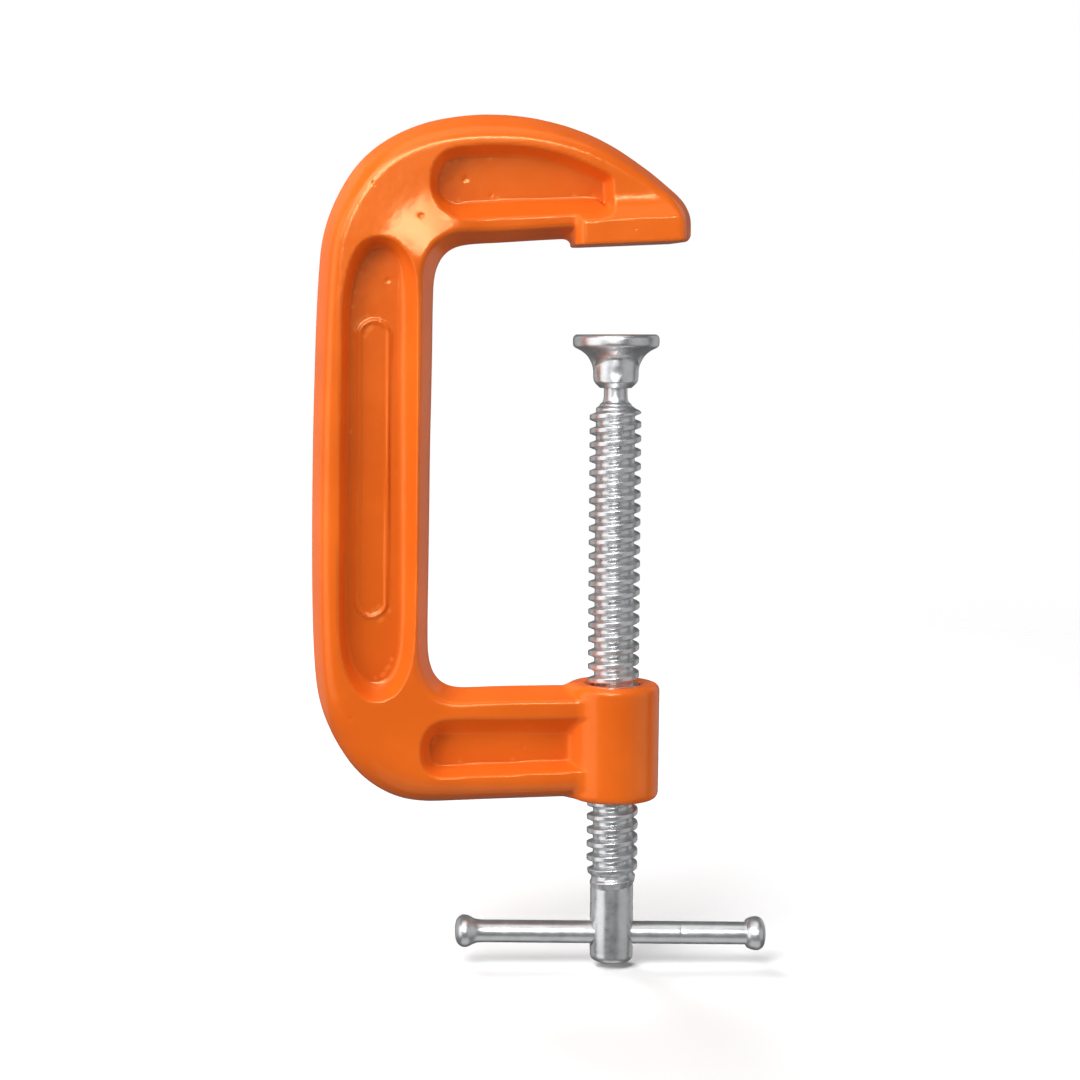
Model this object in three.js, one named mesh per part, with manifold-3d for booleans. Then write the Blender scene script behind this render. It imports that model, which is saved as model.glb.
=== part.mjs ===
// C clamp with a 100 mm opening: a cast C frame with an integral anvil and a
// tapped boss, a coarse screw with a ball end, a swivel pad crimped over the
// ball, and a sliding cross bar with upset heads.
//
// Millimetres, +Z up along the screw axis, +X from the spine towards the arm
// tips, front of the clamp towards -Y, symmetric about the plane Y = 0.
// Origin: on the anvil's contact face, where the screw axis meets it.

import * as THREE from 'three';
import { mergeVertices } from 'three/addons/utils/BufferGeometryUtils.js';
import Module from 'manifold-3d';

const wasm = await Module();
wasm.setup();

// ---------------------------------------------------------------- dimensions

// frame
const RIM_HALF = 9.2;            // half thickness over the flange rims
const WEB_HALF = 3.7;            // half thickness of the web between flanges
const BAND_HALF = 6.6;           // half thickness where the outer draft starts
const ANVIL_HALF = 11.2;         // half thickness over the anvil
const ANVIL_TILT = 2.3;          // degrees, rise of the contact face towards the tip
const ANVIL_X0 = -12.3;          // root end of the contact face
const ANVIL_X1 = 18.1;           // tip end of the contact face
const BOSS_R = 12.5;             // boss outside radius
const BOSS_TOP = -119.4;         // boss upper face
const BOSS_BOTTOM = -151.2;      // boss lower face
const BOSS_EDGE = 1.3;           // rounding of the boss edges
const BOSS_FILLET = 6.0;         // concave radius between arm and boss

// thread, single start, right hand
const PITCH = 3.8;
const CREST_R = 7.0;
const ROOT_R = 5.3;
const CREST_FLAT = 1.15;
const ROOT_FLAT = 0.95;
const THREAD_PHASE = -0.95;      // height of the root's middle at +X, from a whole number of pitches
const THREAD_SIDES = 16;         // facets per turn
const THREAD_GAP_R = 0.45;       // radial running gap in the boss
const THREAD_GAP_Z = 0.3;        // axial gap on each flank
const COUNTERBORE_R = 7.9;       // relief at the lower mouth of the tapped hole
const COUNTERBORE_DEPTH = 4.0;

// screw
const THREAD_TOP = -43.3;        // first thread below the neck
const THREAD_FULL_END = -169.6;  // end of the full thread
const THREAD_END = -176.9;       // end of the run-out
const SHANK_R = 5.9;
const SHANK_END = -197.4;
const NECK_R = 3.2;
const BALL_R = 4.6;
const BALL_Z = -34.3;

// pad
const PAD_FACE_Z = -24.1;
const PAD_R = 11.7;
const SOCKET_R = 4.95;
const COLLAR_HOLE_R = 3.65;
const COLLAR_END_Z = -38.6;

// cross bar
const BAR_R = 3.1;
const BAR_Z = -189.3;
const BAR_X0 = -43.3;
const BAR_X1 = 42.6;
const BAR_HEAD_R = 4.6;
const BAR_HOLE_R = 3.45;

// silhouette stations of the C at its mid plane [x, z], from the tip of the
// upper arm over the corner, down the spine and along the lower arm
const OUTER = [
  [19.7, 2.4], [19.7, 5.1], [19.7, 7.8], [19.0, 10.1], [16.9, 12.6], [14.2, 15.0], [11.5, 17.3], [8.8, 19.5],
  [6.0, 21.5], [3.3, 23.4], [0.6, 25.2], [-2.1, 26.8], [-4.8, 28.2], [-8.0, 29.7], [-11.3, 30.9], [-14.5, 32.0],
  [-17.7, 32.8], [-21.5, 33.7], [-25.3, 34.3], [-29.1, 34.7], [-33.1, 34.9], [-37.1, 34.9], [-41.2, 34.6],
  [-45.2, 34.2], [-49.0, 33.5], [-52.7, 32.6], [-56.5, 31.2], [-60.3, 29.5], [-63.5, 27.6], [-66.7, 25.2],
  [-70.0, 21.7], [-73.2, 17.2], [-75.7, 12.6], [-77.6, 8.5], [-78.9, 4.6], [-80.0, 0.0], [-80.6, -6.2],
  [-81.0, -13.5], [-81.4, -21.6], [-81.8, -33.7], [-82.2, -47.3], [-82.5, -63.7], [-82.7, -80.1],
  [-82.6, -96.6], [-82.4, -107.7], [-81.9, -116.0], [-81.1, -122.1], [-80.1, -126.6], [-78.4, -131.0],
  [-76.5, -135.2], [-74.3, -138.9], [-71.8, -142.3], [-69.3, -145.1], [-66.6, -147.5], [-63.3, -149.4],
  [-59.7, -151.1], [-55.8, -152.0], [-51.4, -152.4], [-46.2, -152.2], [-36.5, -151.8], [-25.5, -151.4],
  [-14.5, -151.1], [-4.0, -150.7],
];
const INNER = [
  [-4.0, -120.1], [-14.6, -120.2], [-22.9, -120.3], [-31.1, -120.4], [-38.0, -120.7], [-42.1, -121.0], [-44.9, -120.6],
  [-47.1, -119.4], [-48.9, -117.7], [-50.2, -115.2], [-50.9, -112.1], [-51.1, -108.8], [-51.0, -99.4],
  [-50.8, -85.6], [-50.7, -69.2], [-50.4, -52.8], [-50.1, -41.9], [-49.9, -28.3], [-49.7, -14.8], [-49.4, -8.6],
  [-48.6, -5.6], [-47.4, -3.4], [-45.7, -1.6], [-43.2, -0.4], [-39.7, 0.1], [-31.6, 0.5], [-23.5, 1.1],
  [-16.2, 1.4], [-6.0, 1.9], [6.0, 2.3], [17.6, 2.4],
];

// -------------------------------------------------------------------- helpers

const rad = THREE.MathUtils.degToRad;

function toSolid(geometry) {
  const g = geometry.clone();
  for (const name of Object.keys(g.attributes)) if (name !== 'position') g.deleteAttribute(name);
  const m = mergeVertices(g, 1e-4);
  return new wasm.Manifold(new wasm.Mesh({
    numProp: 3,
    vertProperties: new Float32Array(m.attributes.position.array),
    triVerts: new Uint32Array(m.index.array),
  }));
}

function toGeometry(solid) {
  const m = solid.getMesh();
  const g = new THREE.BufferGeometry();
  g.setAttribute('position', new THREE.BufferAttribute(new Float32Array(m.vertProperties), 3));
  g.setIndex(new THREE.BufferAttribute(new Uint32Array(m.triVerts), 1));
  g.computeVertexNormals();
  return g;
}

// A closed body from rings of equal point counts: rings[k][i] = [x, y, z].
// The two end rings are capped. The points run counter-clockwise in (x, z)
// seen from -Y, and the rings go from -Y to +Y.
function loft(rings) {
  const n = rings[0].length;
  const pos = [];
  for (const ring of rings) for (const p of ring) pos.push(...p);
  const idx = [];
  for (let k = 0; k + 1 < rings.length; k++) {
    for (let i = 0; i < n; i++) {
      const j = (i + 1) % n;
      const a = k * n + i, b = k * n + j, c = (k + 1) * n + i, d = (k + 1) * n + j;
      idx.push(a, c, b, b, c, d);
    }
  }
  const flat = (ring) => ring.map(([x, , z]) => new THREE.Vector2(x, z));
  const last = (rings.length - 1) * n;
  for (const [a, b, c] of THREE.ShapeUtils.triangulateShape(flat(rings[0]), [])) idx.push(a, b, c);
  for (const [a, b, c] of THREE.ShapeUtils.triangulateShape(flat(rings[rings.length - 1]), [])) idx.push(last + a, last + c, last + b);
  const g = new THREE.BufferGeometry();
  g.setAttribute('position', new THREE.Float32BufferAttribute(pos, 3));
  g.setIndex(idx);
  return g;
}

const ringAt = (pts, y) => pts.map(([x, z]) => [x, y, z]);

// moves each point of a closed counter-clockwise polygon inwards by inset(x, z)
function insetRing(pts, inset) {
  const n = pts.length;
  return pts.map((p, i) => {
    const a = pts[(i + n - 1) % n], b = pts[(i + 1) % n];
    const tx = b[0] - a[0], tz = b[1] - a[1];
    const len = Math.hypot(tx, tz);
    const d = inset(p[0], p[1]);
    return [p[0] - (tz / len) * d, p[1] + (tx / len) * d];
  });
}

function lathe(profile, sides) {
  return new THREE.LatheGeometry(profile.map(([r, z]) => new THREE.Vector2(r, z)), sides).rotateX(Math.PI / 2);
}

// Solid rod whose surface is a single-start right-hand trapezoid thread.
function threadedRod(z0, z1, rootR, crestR, crestFlat, rootFlat) {
  const flank = (PITCH - crestFlat - rootFlat) / 2;
  const steps = [[0, rootR], [rootFlat, rootR], [rootFlat + flank, crestR], [rootFlat + flank + crestFlat, crestR]];
  const turns = Math.ceil((z1 - z0) / PITCH) + 3;
  const first = Math.floor(z0 / PITCH) * PITCH - PITCH + THREAD_PHASE;
  const m = THREAD_SIDES, rows = turns * 4 + 4;
  const pos = [];
  for (let j = 0; j < m; j++) {
    const t = (2 * Math.PI * j) / m;
    for (let r = 0; r < rows; r++) {
      const [dz, rr] = steps[r % 4];
      const z = first + Math.floor(r / 4) * PITCH + dz - rootFlat / 2 + (PITCH * j) / m;
      pos.push(rr * Math.cos(t), rr * Math.sin(t), z);
    }
  }
  const id = (j, r) => (j === m ? r + 4 : j * rows + r);
  const idx = [];
  for (let j = 0; j < m; j++) {
    const top = rows - 1 - (j === m - 1 ? 4 : 0);
    for (let r = 0; r < top; r++) {
      const a = id(j, r), b = id(j + 1, r), c = id(j, r + 1), d = id(j + 1, r + 1);
      idx.push(a, b, d, a, d, c);
    }
  }
  // end fans round the axis
  const low = [], high = [];
  for (let j = 0; j <= m; j++) low.push(id(j, 0));
  for (let r = 3; r >= 1; r--) low.push(id(0, r));
  for (let j = 0; j < m; j++) high.push(id(j, rows - 1));
  for (let r = rows - 2; r >= rows - 4; r--) high.push(id(m - 1, r));
  high.splice(m, 3);
  const lastCol = [];
  for (let r = rows - 1; r >= rows - 5; r--) lastCol.push(id(m - 1, r));
  const zc0 = first - rootFlat / 2 + PITCH / 2;
  const zc1 = first + (rows / 4 - 1) * PITCH + PITCH / 2 + rootFlat;
  const c0 = pos.length / 3; pos.push(0, 0, zc0);
  const c1 = c0 + 1; pos.push(0, 0, zc1);
  for (let k = 0; k < low.length; k++) idx.push(c0, low[(k + 1) % low.length], low[k]);
  // upper loop: along the tops of the columns, then down the last column to
  // meet the first column's top again
  const up = [];
  for (let j = 0; j < m; j++) up.push(id(j, rows - 1));
  for (let r = rows - 2; r >= rows - 4; r--) up.push(id(m - 1, r));
  for (let k = 0; k < up.length; k++) {
    const a = up[k], b = up[(k + 1) % up.length];
    idx.push(c1, a, b);
  }
  // the last column's row rows-5 joins the first column's top row
  idx.push(up[up.length - 1], id(m - 1, rows - 5), up[0]);
  const g = new THREE.BufferGeometry();
  g.setAttribute('position', new THREE.Float32BufferAttribute(pos, 3));
  g.setIndex(idx);
  return g;
}

function addMesh(group, name, solid, color, roughness, metalness) {
  const mesh = new THREE.Mesh(toGeometry(solid), new THREE.MeshStandardMaterial({ color, roughness, metalness }));
  mesh.name = name;
  group.add(mesh);
  return mesh;
}

// ---------------------------------------------------------------------- frame

// flange band: how far the front rim edge lies inside the silhouette
function bandInset(x, z) {
  if (x > 16 && z < 12) return 2.2;
  if (z > 3 && z > 0.0) return x < -60 ? 4.0 : 4.6;
  if (z < -146) return 5.6;
  if (x < -70) return 3.6;
  return 3.2;
}

function cPlate() {
  const outline = [...OUTER].reverse().concat([...INNER].reverse());
  // counter-clockwise in (x, z)
  let area = 0;
  outline.forEach((p, i) => {
    const q = outline[(i + 1) % outline.length];
    area += p[0] * q[1] - q[0] * p[1];
  });
  const ccw = area > 0 ? outline : outline.reverse();
  const rim = insetRing(ccw, bandInset);
  const band = insetRing(ccw, (x, z) => bandInset(x, z) * 0.35);
  return loft([
    ringAt(rim, -RIM_HALF), ringAt(band, -BAND_HALF), ringAt(ccw, 0), ringAt(band, BAND_HALF), ringAt(rim, RIM_HALF),
  ]);
}

// rounded pocket outline from a closed list of [x, z, radius] corners
function roundedPolygon(corners, steps = 5) {
  const out = [];
  const n = corners.length;
  for (let i = 0; i < n; i++) {
    const [px, pz, r] = corners[i];
    const a = corners[(i + n - 1) % n], b = corners[(i + 1) % n];
    const va = new THREE.Vector2(a[0] - px, a[1] - pz).normalize();
    const vb = new THREE.Vector2(b[0] - px, b[1] - pz).normalize();
    const half = Math.acos(THREE.MathUtils.clamp(va.dot(vb), -1, 1)) / 2;
    const cut = r / Math.tan(half);
    const c = va.clone().add(vb).normalize().multiplyScalar(r / Math.sin(half));
    const p0 = va.multiplyScalar(cut), p1 = vb.multiplyScalar(cut);
    let t0 = Math.atan2(p0.y - c.y, p0.x - c.x), t1 = Math.atan2(p1.y - c.y, p1.x - c.x);
    if (t1 - t0 > Math.PI) t1 -= 2 * Math.PI;
    if (t0 - t1 > Math.PI) t1 += 2 * Math.PI;
    for (let k = 0; k <= steps; k++) {
      const t = t0 + ((t1 - t0) * k) / steps;
      out.push([px + c.x + r * Math.cos(t), pz + c.y + r * Math.sin(t)]);
    }
  }
  return out;
}

// moves the corners of a counter-clockwise polygon inwards by d
function insetCorners(corners, d) {
  const n = corners.length;
  return corners.map(([x, z, r], i) => {
    const a = corners[(i + n - 1) % n], b = corners[(i + 1) % n];
    const ea = new THREE.Vector2(x - a[0], z - a[1]).normalize();
    const eb = new THREE.Vector2(b[0] - x, b[1] - z).normalize();
    const m = new THREE.Vector2(-ea.y - eb.y, ea.x + eb.x).normalize();
    const k = d / Math.max(0.2, m.x * -ea.y + m.y * ea.x);
    return [x + m.x * k, z + m.y * k, Math.max(r - d, 0.5)];
  });
}

// a drafted pocket on the front and the back face
function pocket(corners, draft) {
  const grow = roundedPolygon(insetCorners(corners, -draft * 0.35));
  const floor = roundedPolygon(insetCorners(corners, draft));
  const over = RIM_HALF + (RIM_HALF - WEB_HALF) * 0.35;
  const front = toSolid(loft([ringAt(grow, -over), ringAt(floor, -WEB_HALF)]));
  const back = toSolid(loft([ringAt(floor, WEB_HALF), ringAt(grow, over)]));
  return front.add(back);
}

function anvilBlock() {
  const t = Math.tan(rad(ANVIL_TILT));
  const zFace = (x) => x * t;
  const y = ANVIL_HALF, yf = ANVIL_HALF - 1.0;
  // horizontal sections, widest at the ridge, from the contact face upwards
  const section = (x0, x1, lead, half, z) => [
    [x0 + lead, -half, z(x0 + lead)], [x1 - 1.8, -half, z(x1 - 1.8)], [x1, -half + 4.5, z(x1)],
    [x1, half - 4.5, z(x1)], [x1 - 1.8, half, z(x1 - 1.8)], [x0 + lead, half, z(x0 + lead)],
    [x0, 4.0, z(x0)], [x0, -4.0, z(x0)],
  ];
  const rings = [
    section(ANVIL_X0, ANVIL_X1, 4.2, yf, zFace),
    section(ANVIL_X0 - 0.9, ANVIL_X1 + 1.3, 4.4, y, (x) => 1.4 + x * t),
    section(ANVIL_X0 - 1.5, ANVIL_X1 + 1.6, 4.6, y, (x) => 6.6 + x * t),
    section(ANVIL_X0 - 1.5, ANVIL_X1 - 1.2, 4.6, RIM_HALF - 1.2, (x) => 11.8 + x * t),
  ];
  const n = 8, pos = [], idx = [];
  rings.forEach((r) => r.forEach((p) => pos.push(...p)));
  for (let k = 0; k + 1 < rings.length; k++) for (let i = 0; i < n; i++) {
    const j = (i + 1) % n;
    const a = k * n + i, b = k * n + j, c = (k + 1) * n + i, d = (k + 1) * n + j;
    idx.push(a, b, d, a, d, c);
  }
  for (let i = 1; i + 1 < n; i++) {
    idx.push(0, i + 1, i);
    idx.push(3 * n, 3 * n + i, 3 * n + i + 1);
  }
  const g = new THREE.BufferGeometry();
  g.setAttribute('position', new THREE.Float32BufferAttribute(pos, 3));
  g.setIndex(idx);
  return g;
}

function bossBody() {
  const e = BOSS_EDGE;
  return lathe([
    [0, BOSS_BOTTOM], [BOSS_R - e, BOSS_BOTTOM], [BOSS_R - 0.3 * e, BOSS_BOTTOM + 0.3 * e], [BOSS_R, BOSS_BOTTOM + e],
    [BOSS_R, BOSS_TOP - e], [BOSS_R - 0.3 * e, BOSS_TOP - 0.3 * e], [BOSS_R - e, BOSS_TOP], [0, BOSS_TOP],
  ], 40);
}

// concave fillet web that blends the arm's flanks into the boss
function bossFlare() {
  const r = BOSS_FILLET, h = RIM_HALF;
  // fillet circle tangent to the flank y = h and to the boss circle
  const cy = h + r, cx = -Math.sqrt((BOSS_R + r) ** 2 - cy ** 2);
  const touch = Math.atan2(-cy, -cx);
  const side = [];
  const a0 = -Math.PI / 2;
  for (let k = 0; k <= 7; k++) {
    const t = a0 + ((touch - a0) * k) / 7;
    side.push([cx + r * Math.cos(t), cy + r * Math.sin(t)]);
  }
  const shape = new THREE.Shape();
  side.forEach(([x, y], i) => (i ? shape.lineTo(x, y) : shape.moveTo(x, y)));
  shape.lineTo(0, 0);
  [...side].reverse().forEach(([x, y]) => shape.lineTo(x, -y));
  shape.closePath();
  const z0 = -147.2, z1 = -123.4;
  const g = new THREE.ExtrudeGeometry(shape, { depth: z1 - z0, bevelEnabled: false, curveSegments: 8 });
  return g.translate(0, 0, z0);
}

function makeFrame() {
  let body = toSolid(cPlate());
  body = body.add(toSolid(anvilBlock())).add(toSolid(bossBody())).add(toSolid(bossFlare()));
  // spine pocket
  body = body.subtract(pocket([[-73.0, 1.8, 8.6], [-75.0, -123.2, 8.8], [-56.4, -123.2, 8.4], [-55.8, 1.8, 8.2]], 1.7));
  // upper arm pocket
  body = body.subtract(pocket([[-50.5, 24.5, 6.8], [-49.9, 7.6, 6.0], [-2.1, 10.9, 1.2], [-1.9, 18.0, 1.2], [-18.9, 25.8, 34], [-32.9, 27.1, 34]], 1.8));
  // lower arm pocket
  body = body.subtract(pocket([[-52.6, -128.4, 4.8], [-52.6, -143.4, 4.8], [-13.0, -142.0, 1.4], [-13.0, -128.2, 1.4]], 1.8));
  // tapped hole, in mesh with the screw, and the relief at its lower mouth
  const tap = toSolid(threadedRod(BOSS_BOTTOM - 8, BOSS_TOP + 8, ROOT_R + THREAD_GAP_R, CREST_R + THREAD_GAP_R,
    CREST_FLAT + 2 * THREAD_GAP_Z, ROOT_FLAT - 2 * THREAD_GAP_Z));
  body = body.subtract(tap);
  const relief = toSolid(lathe([[0, BOSS_BOTTOM - 3], [COUNTERBORE_R, BOSS_BOTTOM - 3], [COUNTERBORE_R, BOSS_BOTTOM + COUNTERBORE_DEPTH], [6.2, BOSS_BOTTOM + COUNTERBORE_DEPTH + 1.6], [0, BOSS_BOTTOM + COUNTERBORE_DEPTH + 1.6]], 32));
  const lead = toSolid(lathe([[0, BOSS_TOP - 1.5], [6.2, BOSS_TOP - 1.5], [8.1, BOSS_TOP + 0.4], [8.1, BOSS_TOP + 2], [0, BOSS_TOP + 2]], 32));
  return body.subtract(relief).subtract(lead);
}

// ---------------------------------------------------------------------- screw

function makeScrew() {
  const rod = toSolid(threadedRod(THREAD_END - 2, THREAD_TOP + 2, ROOT_R, CREST_R, CREST_FLAT, ROOT_FLAT));
  const envelope = toSolid(lathe([
    [0, THREAD_END], [ROOT_R + 0.2, THREAD_END], [CREST_R + 0.2, THREAD_FULL_END], [CREST_R + 0.2, THREAD_TOP - 2.4],
    [NECK_R + 0.9, THREAD_TOP], [0, THREAD_TOP],
  ], 24));
  const ball = [];
  const a1 = Math.asin((NECK_R) / BALL_R);
  for (let k = 0; k <= 10; k++) {
    const t = a1 + ((Math.PI - a1) * k) / 10;
    ball.push([k === 10 ? 0 : BALL_R * Math.sin(t), BALL_Z - BALL_R * Math.cos(t)]);
  }
  const core = toSolid(lathe([
    [0, SHANK_END], [3.6, SHANK_END], [5.0, SHANK_END + 0.7], [SHANK_R, SHANK_END + 2.6], [SHANK_R + 0.15, BAR_Z - 4.5],
    [SHANK_R + 0.15, BAR_Z + 4.5], [SHANK_R, BAR_Z + 7.5], [SHANK_R, THREAD_END + 0.4], [ROOT_R - 0.15, THREAD_END + 3.6],
    [ROOT_R - 0.15, THREAD_TOP - 2.0], [NECK_R, THREAD_TOP + 0.6], ...ball,
  ], 24));
  const hole = toSolid(new THREE.CylinderGeometry(BAR_HOLE_R, BAR_HOLE_R, 20, 24).rotateZ(Math.PI / 2).translate(0, 0, BAR_Z));
  return rod.intersect(envelope).add(core).subtract(hole);
}

// ------------------------------------------------------------------------ pad

function makePad() {
  const s = [];
  const t0 = Math.asin(COLLAR_HOLE_R / SOCKET_R);
  // socket wall from the collar's lip up to the crown on the axis
  for (let k = 0; k <= 9; k++) {
    const t = t0 + ((Math.PI - t0) * k) / 9;
    s.push([k === 9 ? 0 : SOCKET_R * Math.sin(t), BALL_Z - SOCKET_R * Math.cos(t)]);
  }
  return toSolid(lathe([
    ...s.slice().reverse(),
    [COLLAR_HOLE_R, COLLAR_END_Z], [4.3, COLLAR_END_Z], [5.2, COLLAR_END_Z + 1.1], [6.05, COLLAR_END_Z + 2.1],
    [6.15, -33.4], [6.4, -32.6], [7.1, -31.0], [8.2, -29.3], [9.9, -28.0], [11.0, -27.6], [PAD_R, -26.8],
    [PAD_R, -25.2], [11.4, -24.5], [10.9, PAD_FACE_Z], [0, PAD_FACE_Z],
  ], 32));
}

// ------------------------------------------------------------------ cross bar

function makeBar() {
  const p = [
    [0, BAR_X0], [2.4, BAR_X0 + 0.1], [3.9, BAR_X0 + 0.9], [4.5, BAR_X0 + 2.2], [4.5, BAR_X0 + 3.6], [3.8, BAR_X0 + 4.8],
    [BAR_R, BAR_X0 + 6.4], [BAR_R, BAR_X1 - 5.4], [4.3, BAR_X1 - 5.2], [BAR_HEAD_R, BAR_X1 - 4.6], [BAR_HEAD_R, BAR_X1 - 2.2],
    [3.9, BAR_X1 - 0.8], [2.4, BAR_X1 - 0.1], [0, BAR_X1],
  ];
  return toSolid(lathe(p, 24).rotateY(Math.PI / 2).translate(0, 0, BAR_Z));
}

// ------------------------------------------------------------------- assembly

const clamp = new THREE.Group();
clamp.name = 'c_clamp';
addMesh(clamp, 'frame', makeFrame(), 0xe8702a, 0.28, 0.0);
addMesh(clamp, 'screw', makeScrew(), 0xc4c6c8, 0.3, 1.0);
addMesh(clamp, 'swivel_pad', makePad(), 0xbfc1c3, 0.32, 1.0);
addMesh(clamp, 'sliding_bar', makeBar(), 0xc8cacc, 0.28, 1.0);

export default clamp;
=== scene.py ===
import math

import bpy
import numpy as np
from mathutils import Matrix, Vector


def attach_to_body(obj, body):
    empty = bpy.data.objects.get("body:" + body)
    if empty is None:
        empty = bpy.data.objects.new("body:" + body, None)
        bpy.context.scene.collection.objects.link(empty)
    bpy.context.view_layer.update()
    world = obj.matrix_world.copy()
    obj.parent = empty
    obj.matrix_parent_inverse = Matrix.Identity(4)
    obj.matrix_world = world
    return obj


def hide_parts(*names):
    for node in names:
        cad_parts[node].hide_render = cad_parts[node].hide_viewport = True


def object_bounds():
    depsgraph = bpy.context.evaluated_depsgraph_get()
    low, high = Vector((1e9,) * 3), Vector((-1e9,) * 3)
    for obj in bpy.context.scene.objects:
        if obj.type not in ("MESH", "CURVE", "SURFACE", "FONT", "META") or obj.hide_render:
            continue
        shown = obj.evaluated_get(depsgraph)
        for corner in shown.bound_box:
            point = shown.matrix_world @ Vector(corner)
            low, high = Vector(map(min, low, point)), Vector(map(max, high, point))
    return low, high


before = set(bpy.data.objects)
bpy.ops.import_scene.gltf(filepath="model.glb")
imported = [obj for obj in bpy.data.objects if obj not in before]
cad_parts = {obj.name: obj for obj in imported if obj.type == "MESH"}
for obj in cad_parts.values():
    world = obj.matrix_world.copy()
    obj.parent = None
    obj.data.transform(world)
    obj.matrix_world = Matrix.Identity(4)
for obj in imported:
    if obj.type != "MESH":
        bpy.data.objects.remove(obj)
CAD_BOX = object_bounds()
MM = 0.001


# ----------------------------------------------------------------- mesh helpers

def new_object(name, verts, faces, normals=None, material=None, smooth_angle=None):
    """verts in mm, faces as an (n, k) array or a list of index lists."""
    me = bpy.data.meshes.new(name)
    v = (np.asarray(verts, float) * MM).astype(np.float32)
    me.vertices.add(len(v))
    me.vertices.foreach_set("co", v.ravel())
    if isinstance(faces, np.ndarray):
        k = faces.shape[1]
        me.loops.add(faces.size)
        me.loops.foreach_set("vertex_index", faces.astype(np.int32).ravel())
        me.polygons.add(len(faces))
        me.polygons.foreach_set("loop_start", (np.arange(len(faces)) * k).astype(np.int32))
    else:
        start, flat = [], []
        for f in faces:
            start.append(len(flat))
            flat.extend(f)
        me.loops.add(len(flat))
        me.loops.foreach_set("vertex_index", np.asarray(flat, np.int32))
        me.polygons.add(len(start))
        me.polygons.foreach_set("loop_start", np.asarray(start, np.int32))
    me.update(calc_edges=True)
    me.validate(verbose=False)
    me.polygons.foreach_set("use_smooth", np.ones(len(me.polygons), bool))
    if smooth_angle is not None:
        me.set_sharp_from_angle(angle=math.radians(smooth_angle))
    if normals is not None:
        me.normals_split_custom_set_from_vertices(np.asarray(normals, float).tolist())
    if material is not None:
        me.materials.append(material)
    ob = bpy.data.objects.new(name, me)
    bpy.context.scene.collection.objects.link(ob)
    return ob


def smax(a, b, k):
    h = np.maximum(k - np.abs(a - b), 0.0) / k
    return np.maximum(a, b) + h * h * k * 0.25


def smin(a, b, k):
    return -smax(-a, -b, k)


def smoothstep(t):
    t = np.clip(t, 0.0, 1.0)
    return t * t * (3 - 2 * t)


# ------------------------------------------------------------ C frame: outlines

# silhouette of the C at its parting plane: [x, z, draft inset, edge rounding]
OUTER = [
    (19.7, 2.4), (19.7, 5.1), (19.6, 7.6), (18.8, 10.1), (16.9, 12.6), (14.2, 15.0), (11.5, 17.3), (8.8, 19.5),
    (6.0, 21.5), (3.3, 23.4), (0.6, 25.2), (-2.1, 26.8), (-4.8, 28.2), (-8.0, 29.7), (-11.3, 30.9), (-14.5, 32.0),
    (-17.7, 32.8), (-21.5, 33.7), (-25.3, 34.3), (-29.1, 34.7), (-33.1, 34.9), (-37.1, 34.9), (-41.2, 34.6),
    (-45.2, 34.1), (-49.0, 33.4), (-52.8, 32.4), (-56.6, 31.0), (-60.2, 29.3), (-63.6, 27.3), (-66.9, 24.8),
    (-70.1, 21.6), (-73.2, 17.3), (-75.7, 12.8), (-77.6, 8.5), (-78.9, 4.5), (-79.9, 0.0), (-80.5, -6.2),
    (-81.0, -13.5), (-81.4, -21.6), (-81.8, -33.7), (-82.2, -47.3), (-82.5, -63.7), (-82.65, -80.1),
    (-82.6, -96.6), (-82.35, -107.7), (-81.9, -116.0), (-81.2, -122.0), (-80.1, -126.6), (-78.5, -131.0),
    (-76.5, -135.2), (-74.3, -138.9), (-71.9, -142.3), (-69.3, -145.1), (-66.5, -147.4), (-63.3, -149.4),
    (-59.7, -151.0), (-55.7, -152.0), (-51.2, -152.4), (-46.2, -152.3), (-36.5, -151.9), (-25.5, -151.5),
    (-14.5, -151.1), (-4.0, -150.8),
]
INNER = [
    (-4.0, -120.1), (-14.6, -120.2), (-22.9, -120.3), (-31.1, -120.45), (-38.0, -120.7), (-41.9, -120.8),
    (-44.8, -120.5), (-47.1, -119.5), (-48.9, -117.7), (-50.1, -115.2), (-50.8, -112.1), (-51.0, -108.8),
    (-51.0, -99.4), (-50.8, -85.6), (-50.6, -69.2), (-50.4, -52.8), (-50.15, -41.9), (-49.9, -28.3), (-49.7, -14.8),
    (-49.4, -8.8), (-48.6, -5.7), (-47.4, -3.4), (-45.7, -1.6), (-43.2, -0.4), (-39.7, 0.15), (-31.6, 0.6),
    (-23.5, 1.1), (-16.2, 1.5), (-6.0, 2.0), (6.0, 2.3), (17.6, 2.4),
]
OUTER_EDGE = [  # x, z, inset of the drafted band, rounding of its front edge
    (19.7, 5.0, 2.6, 1.8), (11.5, 17.3, 3.1, 2.0), (-4.8, 28.2, 3.7, 2.6), (-33.0, 34.9, 4.7, 3.0),
    (-56.6, 31.0, 4.5, 3.0), (-73.2, 17.3, 4.2, 3.0), (-79.9, 0.0, 3.7, 2.8), (-82.6, -90.0, 3.5, 2.8),
    (-81.9, -116.0, 3.6, 3.4), (-76.5, -135.2, 4.2, 6.0), (-59.7, -151.0, 3.8, 6.5), (-46.2, -152.3, 3.4, 4.5),
    (-25.5, -151.5, 3.2, 3.6), (-4.0, -150.8, 3.2, 3.6),
]
INNER_EDGE = [
    (-4.0, -120.1, 2.8, 1.3), (-38.0, -120.7, 2.8, 1.3), (-48.9, -117.7, 3.2, 2.2), (-51.0, -106.0, 3.2, 1.3),
    (-50.4, -52.8, 3.2, 1.0), (-49.4, -8.8, 3.3, 1.1), (-45.7, -1.6, 3.2, 1.3), (-31.6, 0.6, 3.0, 1.2),
    (17.6, 2.4, 3.0, 1.2),
]

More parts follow.
